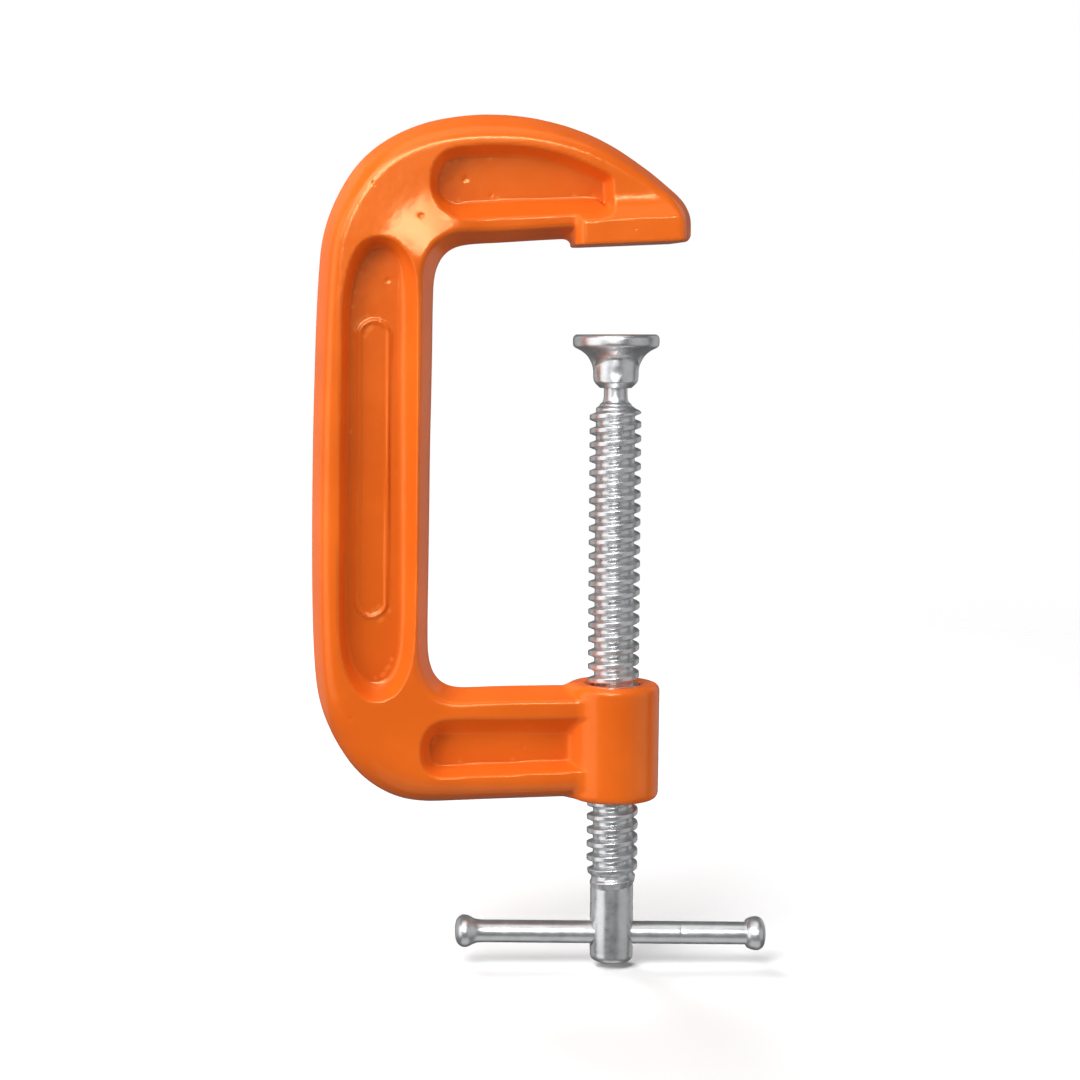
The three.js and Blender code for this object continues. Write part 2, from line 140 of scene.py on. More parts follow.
# pocket mouths [x, z, wall width, wall curve], closed, on the rim's level
SPINE_POCKET = [
    (-74.0, -14.9, 1.9, 1.4), (-73.1, -9.2, 2.1, 1.4), (-71.9, -4.6, 2.4, 1.4), (-70.2, -1.2, 2.7, 1.4),
    (-67.6, 1.3, 2.9, 1.4), (-64.4, 2.1, 2.8, 1.4), (-61.0, 1.4, 2.7, 1.4), (-58.2, -0.7, 2.7, 1.5),
    (-56.0, -3.6, 3.2, 1.6), (-54.7, -7.4, 4.2, 1.8), (-54.15, -13.0, 5.2, 2.0), (-54.1, -30.0, 5.4, 2.0),
    (-54.1, -60.0, 5.3, 2.0), (-54.2, -90.0, 5.0, 2.0), (-54.6, -104.5, 4.6, 2.0), (-55.4, -111.8, 4.4, 2.0),
    (-56.8, -116.6, 4.5, 2.0), (-59.0, -120.4, 4.6, 2.0), (-62.0, -122.6, 4.7, 1.9), (-65.4, -123.3, 4.7, 1.8),
    (-68.9, -122.0, 4.2, 1.7), (-71.6, -119.0, 3.2, 1.5), (-73.5, -114.9, 2.4, 1.4), (-74.7, -109.0, 2.0, 1.4),
    (-75.2, -100.0, 1.9, 1.4), (-75.0, -75.0, 1.9, 1.4), (-74.7, -50.0, 1.9, 1.4), (-74.3, -30.0, 1.9, 1.4),
]
ARM_POCKET = [
    (-50.6, 16.6, 1.9, 1.4), (-50.2, 19.6, 2.0, 1.4), (-49.1, 22.2, 2.1, 1.4), (-47.0, 24.3, 2.2, 1.4),
    (-44.0, 25.4, 2.3, 1.4), (-38.0, 26.0, 2.4, 1.3), (-31.0, 26.1, 2.4, 1.3), (-24.0, 25.6, 2.3, 1.3),
    (-16.6, 24.1, 2.3, 1.3), (-9.0, 21.2, 2.2, 1.3), (-4.2, 18.9, 2.0, 1.3), (-2.6, 17.9, 1.8, 1.3),
    (-2.05, 16.8, 1.9, 1.2), (-2.0, 14.4, 2.0, 1.2), (-2.0, 9.6, 2.2, 1.2), (-2.6, 8.6, 4.0, 1.2), (-4.0, 8.1, 4.3, 1.2),
    (-11.7, 7.7, 4.6, 1.2), (-22.0, 7.3, 4.7, 1.2), (-32.1, 6.9, 4.8, 1.2), (-39.0, 6.5, 4.9, 1.25),
    (-42.8, 6.6, 4.4, 1.3), (-45.4, 7.6, 3.6, 1.4), (-47.6, 9.3, 2.8, 1.4), (-49.4, 11.7, 2.2, 1.4), (-50.4, 14.2, 1.9, 1.4),
]
LOWER_POCKET = [
    (-53.1, -138.8, 2.4, 1.5), (-53.0, -135.2, 2.4, 1.4), (-52.0, -132.0, 3.0, 1.3), (-50.2, -129.8, 4.0, 1.25),
    (-47.6, -128.4, 4.9, 1.2), (-44.0, -128.0, 5.1, 1.2), (-30.0, -127.9, 5.2, 1.2), (-16.0, -127.75, 5.2, 1.2),
    (-4.0, -127.6, 5.2, 1.2), (4.0, -128.2, 2.4, 1.2), (4.4, -136.0, 2.4, 1.2), (4.0, -141.4, 2.4, 1.2),
    (-4.0, -142.1, 2.2, 1.3), (-11.2, -142.4, 2.2, 1.3), (-20.0, -142.8, 2.2, 1.3), (-31.5, -143.4, 2.2, 1.3),
    (-42.0, -143.8, 2.2, 1.3), (-47.8, -144.0, 2.2, 1.35), (-50.6, -143.2, 2.3, 1.4), (-52.4, -141.4, 2.4, 1.45),
]
RIM = 8.9           # half thickness over the flat rims
WEB = 3.7           # half thickness of the web
FULL = 9.0          # half height the draft inset is given at


def dense(points, closed, step=0.9, sigma=1.6):
    """Evenly spaced, lightly smoothed points along a polyline; extra columns ride along."""
    p = np.asarray(points, float)
    if closed:
        p = np.vstack([p, p[:1]])
    # centripetal-like Catmull-Rom through the stations
    q = []
    n = len(p)
    for i in range(n - 1):
        a = p[i - 1] if i > 0 else (p[-2] if closed else 2 * p[0] - p[1])
        b, c = p[i], p[i + 1]
        d = p[i + 2] if i + 2 < n else (p[1] if closed else 2 * p[-1] - p[-2])
        la, lb, lc = (max(np.hypot(*(v[:2] - u[:2])), 1e-3) for u, v in ((a, b), (b, c), (c, d)))
        m1 = ((b - a) / la + (c - b) / lb) * 0.5 * lb
        m2 = ((c - b) / lb + (d - c) / lc) * 0.5 * lb
        k = max(2, int(lb / 0.4))
        t = np.linspace(0, 1, k, endpoint=False)[:, None]
        q.append((2 * t**3 - 3 * t**2 + 1) * b + (t**3 - 2 * t**2 + t) * m1 + (3 * t**2 - 2 * t**3) * c + (t**3 - t**2) * m2)
    q.append(p[-1:])
    q = np.vstack(q)
    s = np.r_[0, np.cumsum(np.hypot(*np.diff(q[:, :2], axis=0).T))]
    m = int(s[-1] / step)
    t = np.linspace(0, s[-1], m + 1)
    r = np.stack([np.interp(t, s, q[:, c]) for c in range(q.shape[1])], 1)
    if sigma:
        w = int(math.ceil(3 * sigma / step))
        g = np.exp(-0.5 * (np.arange(-w, w + 1) * step / sigma) ** 2)
        g /= g.sum()
        if closed:
            core = r[:-1]
            ext = np.vstack([core[-w:], core, core[:w]])
        else:
            ext = np.vstack([2 * r[0] - r[w:0:-1], r, 2 * r[-1] - r[-2:-w - 2:-1]])
        sm = np.stack([np.convolve(ext[:, c], g, "valid") for c in range(ext.shape[1])], 1)
        r = np.vstack([sm, sm[:1]]) if closed else sm
    return r


def attach(points, edge):
    """Adds the edge table's values to a dense polyline, by arc length."""
    p = np.asarray(points)
    s = np.r_[0, np.cumsum(np.hypot(*np.diff(p[:, :2], axis=0).T))]
    at, vals = [], []
    for x, z, w, k in edge:
        at.append(s[np.argmin((p[:, 0] - x) ** 2 + (p[:, 1] - z) ** 2)])
        vals.append((w, k))
    vals = np.asarray(vals)
    order = np.argsort(at)
    at = np.asarray(at)[order]
    return np.column_stack([p[:, :2], np.interp(s, at, vals[order, 0]), np.interp(s, at, vals[order, 1])])


def distance(X, Z, line):
    """Unsigned distance to a polyline, the two extra columns at the nearest point, and the inside test of the closed ring."""
    best = np.full(X.shape, 1e9, np.float32)
    e1 = np.zeros(X.shape, np.float32)
    e2 = np.zeros(X.shape, np.float32)
    inside = np.zeros(X.shape, bool)
    for a, b in zip(line[:-1], line[1:]):
        dx, dz = b[0] - a[0], b[1] - a[1]
        L = dx * dx + dz * dz
        if L < 1e-9:
            continue
        t = np.clip(((X - a[0]) * dx + (Z - a[1]) * dz) / L, 0, 1).astype(np.float32)
        d = (X - a[0] - t * dx) ** 2 + (Z - a[1] - t * dz) ** 2
        m = d < best
        best[m] = d[m]
        e1[m] = (a[2] + (b[2] - a[2]) * t)[m]
        e2[m] = (a[3] + (b[3] - a[3]) * t)[m]
        if a[1] != b[1]:
            cross = ((a[1] > Z) != (b[1] > Z)) & (X < dx * (Z - a[1]) / dz + a[0])
            inside ^= cross
    return np.sqrt(best), e1, e2, inside


# ------------------------------------------------------- C frame: the 2-D fields

GH = 0.3
GX = np.arange(-86.0, 24.0, GH)
GZ = np.arange(-156.0, 39.0, GH)


def blur(F, passes=1):
    for _ in range(passes):
        F = np.pad(F, 1, mode="edge")
        F = (F[:-2] + 2 * F[1:-1] + F[2:]) / 4
        F = (F[:, :-2] + 2 * F[:, 1:-1] + F[:, 2:]) / 4
    return F


def frame_fields():
    X, Z = np.meshgrid(GX, GZ, indexing="ij")
    X, Z = X.astype(np.float32), Z.astype(np.float32)
    outer = attach(dense(OUTER, False), OUTER_EDGE)
    inner = attach(dense(INNER, False), INNER_EDGE)
    ring = np.vstack([outer, inner, outer[:1]])
    d, W, K, inside = distance(X, Z, ring)
    S = np.where(inside, d, -d)
    W, K = blur(W, 6), blur(K, 6)

    # level of the rims: flat, rising to the throat's upper corner
    r = np.hypot(X + 44.0, Z + 6.0)
    fade = smoothstep((Z + 15.0) / 12.0) * smoothstep((-X - 34.0) / 12.0)
    q = (20.6 - r) / 1.5
    ramp = 0.135 * 1.5 * np.where(q > 20, q, np.log1p(np.exp(np.clip(q, -30, 20))))
    L = RIM + np.minimum(ramp, 1.6) * fade
    # the throat flange stands a little prouder along the spine and the arms
    top = L.copy()
    crown = 11.15 - 0.43 * np.maximum(Z - (5.9 + 0.05 * (X + 9.4)), 0.0)
    crown = np.maximum(crown, 4.0)

    for pts, sig in ((SPINE_POCKET, 1.3), (ARM_POCKET, 0.7), (LOWER_POCKET, 0.7)):
        p = dense(pts, True, 0.8, sig)
        x0, x1 = p[:, 0].min() - 2.5, p[:, 0].max() + 2.5
        z0, z1 = p[:, 1].min() - 2.5, p[:, 1].max() + 2.5
        i0, i1 = np.searchsorted(GX, [x0, x1])
        j0, j1 = np.searchsorted(GZ, [z0, z1])
        sl = (slice(i0, i1), slice(j0, j1))
        dd, w, pw, ins = distance(X[sl], Z[sl], p)
        dd = np.where(ins, dd, -dd)
        lev = L[sl]
        u = dd / w
        uc = np.clip(u, 0, 1)
        depth = lev - WEB
        wall = np.where(u < 0, lev - depth * pw * u, lev - depth * (1 - (1 - uc) ** pw))
        top[sl] = np.minimum(top[sl], smin(lev, wall, 0.55))
        if pts is ARM_POCKET:
            crown[sl] = smin(crown[sl], wall - 3.0 * smoothstep((8.4 - wall) / 2.4), 0.8)

    # plain blank nameplate in the spine's pocket: low raised panel with a border
    lean = 0.011
    cx = -66.0 - lean * (-(Z) - 60.0)
    px, pz = np.abs(X - cx), np.abs(Z + 60.6)
    def panel(hw, hh, rr):
        qx, qz = px - (hw - rr), pz - (hh - rr)
        return np.hypot(np.maximum(qx, 0), np.maximum(qz, 0)) + np.minimum(np.maximum(qx, qz), 0) - rr
    e = panel(4.9, 41.0, 4.9)
    band = smoothstep((0.45 - np.abs(e + 0.9)) / 0.5 + 0.5)
    top = top + 0.42 * band

    # small casting pits
    for x, z, rr, dp in ((-53.1, 7.3, 0.62, 0.34), (-41.2, 17.4, 0.6, 0.3), (-34.3, 13.1, 0.4, 0.16), (-66.4, 16.0, 0.45, 0.2),
                         (-72.0, -128.0, 0.5, 0.2), (-25.0, -136.6, 0.45, 0.18), (-62.0, -9.6, 0.5, 0.2), (-79.2, -70.0, 0.4, 0.14)):
        top = top - dp * np.exp(-((X - x) ** 2 + (Z - z) ** 2) / (rr * rr))
    return np.stack([S, W, K, top, crown]).astype(np.float32)


def spline_eval(F, x, z):
    """Cubic B-spline value of the stacked fields at points (x, z)."""
    u = (x - GX[0]) / GH
    v = (z - GZ[0]) / GH
    i = np.clip(np.floor(u).astype(int), 1, F.shape[1] - 3)
    j = np.clip(np.floor(v).astype(int), 1, F.shape[2] - 3)
    a, b = u - i, v - j
    def w(t):
        return ((1 - t) ** 3 / 6, (3 * t**3 - 6 * t**2 + 4) / 6, (-3 * t**3 + 3 * t**2 + 3 * t + 1) / 6, t**3 / 6)
    wa, wb = w(a), w(b)
    out = 0.0
    for m in range(4):
        col = 0.0
        for n in range(4):
            col = col + F[:, i + m - 1, j + n - 1] * wb[n]
        out = out + col * wa[m]
    return out


# ---------------------------------------------------------- C frame: the 3-D body

PITCH = 3.8
CREST_R, ROOT_R = 7.0, 5.3
CREST_FLAT, ROOT_FLAT = 1.15, 0.95
THREAD_PHASE = -0.95
BOSS_TOP, BOSS_BOTTOM = -119.4, -151.2
TILT = math.tan(math.radians(2.3))


def thread_radius(theta, z, root, crest, root_flat, crest_flat):
    flank = (PITCH - crest_flat - root_flat) / 2
    ph = np.abs((((z - THREAD_PHASE) / PITCH - theta / (2 * np.pi)) + 0.5) % 1.0 - 0.5) * PITCH   # distance from the root's middle
    t = np.clip((ph - root_flat / 2) / flank, 0, 1)
    return root + (crest - root) * t


def body(x, y, z, S, W, K, top, crown):
    ay = np.abs(y)
    e = 0.16
    g = (np.sqrt((ay / FULL) ** 2 + e * e) - e) / (math.sqrt(1 + e * e) - e)
    band = W * g - S
    f = smax(band, ay - top, np.maximum(K, 0.5))
    # anvil
    a = ay - crown
    a = smax(a, x * TILT - z, 0.8)
    left = smax(-12.4 + 0.05 * ay - x, (-10.0 - (11.15 - ay) * 0.85 - x) * 0.76, 0.5)
    a = smax(a, left, 0.7)
    a = smax(a, (x - 19.75 + 0.24 * ay) * 0.97, 1.8)
    a = smax(a, 0.757 * x + 0.653 * z - 20.15 + 0.26 * ay, 1.6)
    a = smax(a, z - 13.6, 1.0)
    f = smin(f, a, 0.9 + 2.0 * smoothstep((-8.0 - x) / 3.0) * smoothstep((4.0 - z) / 2.0))
    # boss
    r = np.sqrt(x * x + y * y)
    rb = 12.62 - 0.2 * (BOSS_TOP - z) / 31.8
    b = smax(r - rb, np.abs(z - 0.5 * (BOSS_TOP + BOSS_BOTTOM)) - 0.5 * (BOSS_TOP - BOSS_BOTTOM), 2.2)
    f = smin(f, b, 1.7)
    # tapped hole with a lead-in chamfer above and a relief below
    near = r < 11.0
    if np.any(near):
        th = np.arctan2(y, x)
        hole = r - thread_radius(th, z, ROOT_R + 0.45, CREST_R + 0.45, ROOT_FLAT - 0.6, CREST_FLAT + 0.6)
        hole = np.minimum(hole, (r - (8.0 + (z - BOSS_TOP))) * 0.75)
        low = np.maximum(r - 7.9, z - (BOSS_BOTTOM + 4.0))
        low = np.minimum(low, (r - (8.7 - (z - BOSS_BOTTOM))) * 0.75)
        hole = np.minimum(hole, low)
        hole = np.where((z < -110) & (z > -160), hole, 9.0)
        f = smax(f, -hole, 0.35)
    return f


def surface_nets(f, origin, h):
    """Quads of the zero level of a sampled function, one vertex for each crossed cell."""
    s = f < 0
    nx, ny, nz = f.shape
    cells = (nx - 1, ny - 1, nz - 1)
    csum = np.zeros((np.prod(cells),), np.int32)
    acc = np.zeros((np.prod(cells), 3))
    quads = []
    for ax in range(3):
        lo = [slice(None)] * 3
        hi = [slice(None)] * 3
        lo[ax], hi[ax] = slice(0, -1), slice(1, None)
        a, b = s[tuple(lo)], s[tuple(hi)]
        idx = np.argwhere(a != b)
        o1, o2 = [i for i in range(3) if i != ax]
        ok = (idx[:, o1] > 0) & (idx[:, o2] > 0) & (idx[:, o1] < cells[o1]) & (idx[:, o2] < cells[o2])
        idx = idx[ok]
        fa = f[tuple(idx.T)]
        nxt = idx.copy()
        nxt[:, ax] += 1
        fb = f[tuple(nxt.T)]
        t = fa / (fa - fb)
        p = idx.astype(float)
        p[:, ax] += t
        ids = []
        for d1, d2 in ((-1, -1), (0, -1), (0, 0), (-1, 0)):
            c = idx.copy()
            c[:, o1] += d1
            c[:, o2] += d2
            cid = np.ravel_multi_index(tuple(c.T), cells)
            ids.append(cid)
            csum += np.bincount(cid, minlength=len(csum)).astype(np.int32)
            for q in range(3):
                acc[:, q] += np.bincount(cid, weights=p[:, q], minlength=len(csum))
        quad = np.stack(ids, 1)
        inside_first = fa < 0
        flip = inside_first if ax != 1 else ~inside_first
        quad = np.where(flip[:, None], quad, quad[:, ::-1])
        quads.append(quad)
    quads = np.vstack(quads)
    used = np.unique(quads)
    remap = np.full(len(csum), -1, np.int64)
    remap[used] = np.arange(len(used))
    verts = acc[used] / csum[used][:, None] * h + np.asarray(origin)
    return verts, remap[quads]


def make_frame(material):
    F = frame_fields()

    def value(P):
        v = spline_eval(F, P[:, 0], P[:, 2])
        return body(P[:, 0], P[:, 1], P[:, 2], *v)

    def gradient(P, eps=0.03):
        g = np.empty_like(P)
        for c in range(3):
            d = np.zeros(3)
            d[c] = eps
            g[:, c] = (value(P + d) - value(P - d)) / (2 * eps)
        return g

    h = 0.66
    xs = np.arange(-84.3, 21.5, h)
    ys = np.arange(-13.6, 13.7, h)
    zs = np.arange(-154.3, 36.8, h)
    XX, ZZ = np.meshgrid(xs, zs, indexing="ij")
    v2 = spline_eval(F, XX.ravel(), ZZ.ravel()).reshape(5, *XX.shape)
    f = np.empty((len(xs), len(ys), len(zs)), np.float32)
    for j, y in enumerate(ys):
        f[:, j, :] = body(XX, np.full_like(XX, y), ZZ, *v2)
    V, Q = surface_nets(f, (xs[0], ys[0], zs[0]), h)
    for _ in range(3):
        val = value(V)
        g = gradient(V)
        n2 = np.maximum((g * g).sum(1), 0.05)
        step = -(val / n2)[:, None] * g
        ln = np.linalg.norm(step, axis=1)
        V = V + step * np.minimum(1, 0.35 * h / np.maximum(ln, 1e-9))[:, None]
    g = gradient(V, 0.05)
    N = g / np.maximum(np.linalg.norm(g, axis=1), 1e-9)[:, None]
    ob = new_object("c_frame", V, Q, N, material)
    return ob


# -------------------------------------------------------------- turned metal parts

def weld(ob, dist=2e-6):
    import bmesh
    bm = bmesh.new()
    bm.from_mesh(ob.data)
    bmesh.ops.remove_doubles(bm, verts=bm.verts, dist=dist)
    bmesh.ops.dissolve_degenerate(bm, edges=bm.edges, dist=dist)
    bmesh.ops.recalc_face_normals(bm, faces=bm.faces)
    bm.to_mesh(ob.data)
    bm.free()
    ob.data.update()


def finish_smooth(ob, angle):
    me = ob.data
    me.polygons.foreach_set("use_smooth", np.ones(len(me.polygons), bool))
    me.set_sharp_from_angle(angle=math.radians(angle))
    me.update()


def revolve(name, profile, sides, material, radius=None, angle=40, phase=0.0):
    """Closed turned body about Z from a [z, r] profile that starts and ends on the axis.
    radius(theta, z, r, k) may reshape each ring."""
    prof = np.asarray(profile, float)
    th = np.arange(sides) * 2 * np.pi / sides + phase
    verts, faces = [], []
    verts.append([0, 0, prof[0, 0]])
    for k in range(1, len(prof) - 1):
        z, r = prof[k]
        rr = np.full(sides, r) if radius is None else radius(th, z, r, k)
        verts.extend(np.stack([rr * np.cos(th), rr * np.sin(th), np.full(sides, z)], 1).tolist())
    verts.append([0, 0, prof[-1, 0]])
    last = len(verts) - 1
    for j in range(sides):
        n = (j + 1) % sides
        faces.append([0, 1 + n, 1 + j])
        faces.append([last, last - sides + j, last - sides + n])
    for k in range(len(prof) - 3):
        a = 1 + k * sides
        for j in range(sides):
            n = (j + 1) % sides
            faces.append([a + j, a + n, a + sides + n, a + sides + j])
    ob = new_object(name, verts, faces, material=material)
    weld(ob)
    finish_smooth(ob, angle)
    return ob


def arc(points, n=6):
    """Smooth [z, r] curve through the stations."""
    p = dense([(a, b, 0.0, 0.0) for a, b in points], False, 0.22, 0)
    return [(float(a), float(b)) for a, b in p[:, :2]]


THREAD_TOP, FULL_END, THREAD_END = -43.3, -169.6, -176.9
BAR_Z = -189.3


def make_screw(material):
    N, P = 72, PITCH
    half = [0.0, 0.26, 0.42, 0.52, 0.66, 0.9, 1.14, 1.27, 1.38, 1.56]
    phases = half + [1.9] + [P - v for v in half[:0:-1]]
    R = len(phases)
    z_lo, z_hi = -193.4, -43.0
    k0 = int(math.floor(z_lo / P)) - 2
    k1 = int(math.ceil(z_hi / P)) + 2
    t = np.array([k * P + THREAD_PHASE + ph for k in range(k0, k1) for ph in phases])
    th = np.arange(N) * 2 * np.pi / N
    Zr = t[None, :] + P * th[:, None] / (2 * np.pi)
    Zc = np.clip(Zr, z_lo, z_hi)

    def radius(theta, z):
        # plain shank with a slight swell round the cross hole
        shank = 5.9 + 0.14 * np.exp(-((z - BAR_Z) / 4.2) ** 2)
        run = smoothstep((z - THREAD_END) / (FULL_END - THREAD_END))
        top = smoothstep((THREAD_TOP - z + 0.1) / 2.1)
        crest = shank + (CREST_R - shank) * run
        root = shank + (ROOT_R - shank) * run
        crest = 4.3 + (crest - 4.3) * top
        root = np.minimum(root, 4.3 + (root - 4.3) * smoothstep((THREAD_TOP - z + 0.1) / 1.0))
        flank = (P - CREST_FLAT - ROOT_FLAT) / 2
        d = np.abs((((z - THREAD_PHASE) / P - theta / (2 * np.pi)) + 0.5) % 1.0 - 0.5) * P
        u = np.clip((d - ROOT_FLAT / 2) / flank, -0.3, 1.3)
        s = 0.5 + 0.5 * np.tanh(2.6 * (u - 0.5)) / math.tanh(1.3)
        s = np.where(u > 0.5, np.minimum(s, 1.0), np.maximum(s, 0.0))
        return root + (np.maximum(crest, root) - root) * s

    Rr = radius(th[:, None] * np.ones_like(Zc), Zc)
    V = np.stack([Rr * np.cos(th)[:, None], Rr * np.sin(th)[:, None], Zc], -1).reshape(-1, 3)
    M = len(t)
    I = np.arange(M - 1)
    faces = []
    for j in range(N):
        if j < N - 1:
            a, b = j * M + I, (j + 1) * M + I
        else:
            I2 = I[: M - 1 - R]
            a, b = j * M + I2, I2 + R
        faces.append(np.stack([a, b, b + 1, a + 1], 1))
    faces = np.vstack(faces)
    # drop what the clipping flattened
    fz = V[faces][:, :, 2]
    faces = faces[~((fz.max(1) - fz.min(1)) < 1e-7)]
    V = V.tolist()
    F = faces.tolist()

    def rings(profile, base_z, pole_z, up):
        """extra rings from the body's end at base_z to the pole"""
        nonlocal V, F
        start = []
        r0 = radius(th, np.full(N, base_z))
        prev = len(V)
        V.extend(np.stack([r0 * np.cos(th), r0 * np.sin(th), np.full(N, base_z)], 1).tolist())
        for z, r in profile:
            cur = len(V)
            V.extend(np.stack([r * np.cos(th), r * np.sin(th), np.full(N, z)], 1).tolist())
            for j in range(N):
                n = (j + 1) % N
                F.append([prev + j, prev + n, cur + n, cur + j] if up else [prev + j, cur + j, cur + n, prev + n])
            prev = cur
        pole = len(V)
        V.append([0, 0, pole_z])
        for j in range(N):
            n = (j + 1) % N
            F.append([prev + j, prev + n, pole] if up else [prev + j, pole, prev + n])

    # neck and ball
    neck = arc([(-42.85, 4.05), (-42.45, 3.62), (-41.9, 3.36), (-41.2, 3.24), (-40.0, 3.2), (-38.6, 3.2), (-37.75, 3.22)])
    ball = []
    a1 = math.asin(3.24 / 4.6)
    for k in range(1, 22):
        a = a1 + (math.pi - a1) * k / 22
        ball.append((-34.3 - 4.6 * math.cos(a), 4.6 * math.sin(a)))
    rings(neck + ball, z_hi, -34.3 + 4.6, True)
    # lower end: turned flat with a small rounded corner, slightly domed
    end = arc([(-194.4, 5.9), (-195.5, 5.88), (-196.2, 5.72), (-196.62, 5.38), (-196.82, 4.85), (-196.9, 4.2)]) + \
        [(-196.97, 3.3), (-197.02, 2.3), (-197.06, 1.2)]
    rings(end, z_lo, -197.08, False)
    me_ob = new_object("c_screw", V, F, material=material)
    weld(me_ob)

    # cross hole for the bar, with worn edges
    cut = [(-12.0, 0.0), (-12.0, 7.6), (-7.0, 4.35), (-5.9, 3.85), (-5.2, 3.58), (-4.4, 3.45), (0, 3.45),
           (4.4, 3.45), (5.2, 3.58), (5.9, 3.85), (7.0, 4.35), (12.0, 7.6), (12.0, 0.0)]
    cutter = revolve("c_cutter", cut, 56, None)
    M3 = np.empty(len(cutter.data.vertices) * 3, np.float32)
    cutter.data.vertices.foreach_get("co", M3)
    M3 = M3.reshape(-1, 3)
    M3 = np.stack([M3[:, 2], M3[:, 1], -M3[:, 0] + BAR_Z * MM], 1)
    cutter.data.vertices.foreach_set("co", M3.ravel().astype(np.float32))
    cutter.data.update()
    mod = me_ob.modifiers.new("hole", "BOOLEAN")
    mod.operation = "DIFFERENCE"
    mod.solver = "EXACT"
    mod.object = cutter
    bpy.context.view_layer.update()
    dg = bpy.context.evaluated_depsgraph_get()
    new = bpy.data.meshes.new_from_object(me_ob.evaluated_get(dg))
    me_ob.modifiers.clear()
    me_ob.data = new
    bpy.data.objects.remove(cutter)
    new.materials.clear()
    new.materials.append(material)
    finish_smooth(me_ob, 42)
    return me_ob


def make_pad(material):
    outer = arc([(-38.6, 4.25), (-38.15, 4.75), (-37.55, 5.35), (-36.9, 5.85), (-36.1, 6.08), (-35.0, 6.14), (-33.8, 6.16),
                 (-32.8, 6.34), (-31.8, 6.68), (-30.8, 7.2), (-29.8, 7.9), (-28.9, 8.9), (-28.25, 9.95), (-27.75, 10.95),
                 (-27.35, 11.45), (-26.8, 11.66), (-26.0, 11.7), (-25.2, 11.68), (-24.65, 11.5), (-24.3, 11.15), (-24.1, 10.7)])
    socket = []
    t0 = math.asin(3.65 / 4.95)
    for k in range(0, 20):
        a = math.pi + (t0 - math.pi) * k / 19
        socket.append((-34.3 - 4.95 * math.cos(a), 0.0 if k == 0 else 4.95 * math.sin(a)))
    inner = socket + [(-38.25, 3.62), (-38.5, 3.75), (-38.6, 3.95)]
    n_in = len(inner)
    face = [(-24.1, r) for r in (10.0, 9.0, 7.0, 5.0, 3.0, 1.5)] + [(-24.1, 0.0)]
    prof = inner + outer + face

    def radius(th, z, r, k):
        out = np.full(len(th), r)
        if n_in <= k < n_in + len(outer):
            # pressed flats, front and back, under an arch, each with a punch mark
            for side in (-1, 1):
                c = np.cos(th - side * math.pi / 2)
                x = r * np.sin(th - side * math.pi / 2)
                front = smoothstep((c - 0.30) / 0.30)
                arch = -30.2 - 0.0017 * x ** 4
                under = smoothstep((arch - z) / 0.45)
                flat = 5.98 - 0.22 * smoothstep((c - 0.55) / 0.4)
                out = np.where(out > flat, out - (out - flat) * front * under, out)
                d2 = (x + 0.3) ** 2 / 3.4 + (z + 34.6) ** 2 / 2.1
                out = out - 0.17 * np.exp(-d2 * 0.9) * (c > 0)
                d3 = (x - 1.9) ** 2 / 1.0 + (z + 33.4) ** 2 / 1.4
                out = out - 0.04 * np.exp(-d3) * (c > 0)
            # hand-set collar: the lip isn't quite round
            if z < -36.6:
                out = out * (1 + 0.012 * np.sin(2 * th + 0.6) * smoothstep((-36.6 - z) / 1.5))
        return out

    return revolve("c_swivel_pad", prof, 112, material, radius, 50)


def make_bar(material):
    # left head: upset mushroom with a long flare; right head: domed, with a crisp shoulder
    left = [(-43.3, 0.0), (-43.3, 0.9), (-43.24, 1.8), (-43.05, 2.7), (-42.7, 3.45), (-42.2, 4.0), (-41.5, 4.38), (-40.8, 4.52),
            (-40.1, 4.46), (-39.4, 4.2), (-38.8, 3.86), (-38.2, 3.55), (-37.6, 3.32), (-36.9, 3.18), (-36.0, 3.11), (-35.0, 3.1)]
    mid = [(x, 3.1) for x in np.linspace(-33.5, 18.2, 22)] + \
        [(18.7, 3.1), (18.95, 3.06), (19.1, 3.04), (19.25, 3.06), (19.5, 3.1)] + [(x, 3.1) for x in np.linspace(21, 36.2, 9)]
    right = [(36.9, 3.1), (37.15, 3.12), (37.25, 3.45), (37.35, 3.75), (37.7, 4.02), (38.2, 4.28), (38.9, 4.52), (39.6, 4.66),
             (40.3, 4.66), (41.0, 4.46), (41.6, 4.05), (42.05, 3.4), (42.35, 2.6), (42.52, 1.7), (42.59, 0.85), (42.6, 0.0)]
    prof = left + mid + right
    rng = np.random.default_rng(7)
    amp = rng.normal(0, 1, (6, 3))

    def radius(th, z, r, k):
        # forged ends are a little uneven
        w = 0.10 * smoothstep((-36.5 - z) / 3.0) + 0.05 * smoothstep((z - 37.3) / 2.0)
        n = sum(a[0] * np.cos((i + 1) * th + a[1]) for i, a in enumerate(amp)) / 3.5
        return r + w * n

    ob = revolve("c_cross_bar", prof, 72, material, radius, 32)
    co = np.empty(len(ob.data.vertices) * 3, np.float32)
    ob.data.vertices.foreach_get("co", co)
    co = co.reshape(-1, 3)
    x, y, z = co[:, 2], co[:, 1], -co[:, 0]
    a = math.radians(0.5)   # the bar lies a little aslant in its loose hole
    x2, z2 = x * math.cos(a) + z * math.sin(a), -x * math.sin(a) + z * math.cos(a) + BAR_Z * MM
    ob.data.vertices.foreach_set("co", np.stack([x2, y, z2], 1).ravel().astype(np.float32))
    ob.data.update()
    finish_smooth(ob, 32)
    return ob


# --------------------------------------------------------------------- materials

def nodes_of(name):
    m = bpy.data.materials.new(name)
    m.use_nodes = True
    nt = m.node_tree
    return m, nt, nt.nodes, nt.links, nt.nodes["Principled BSDF"]


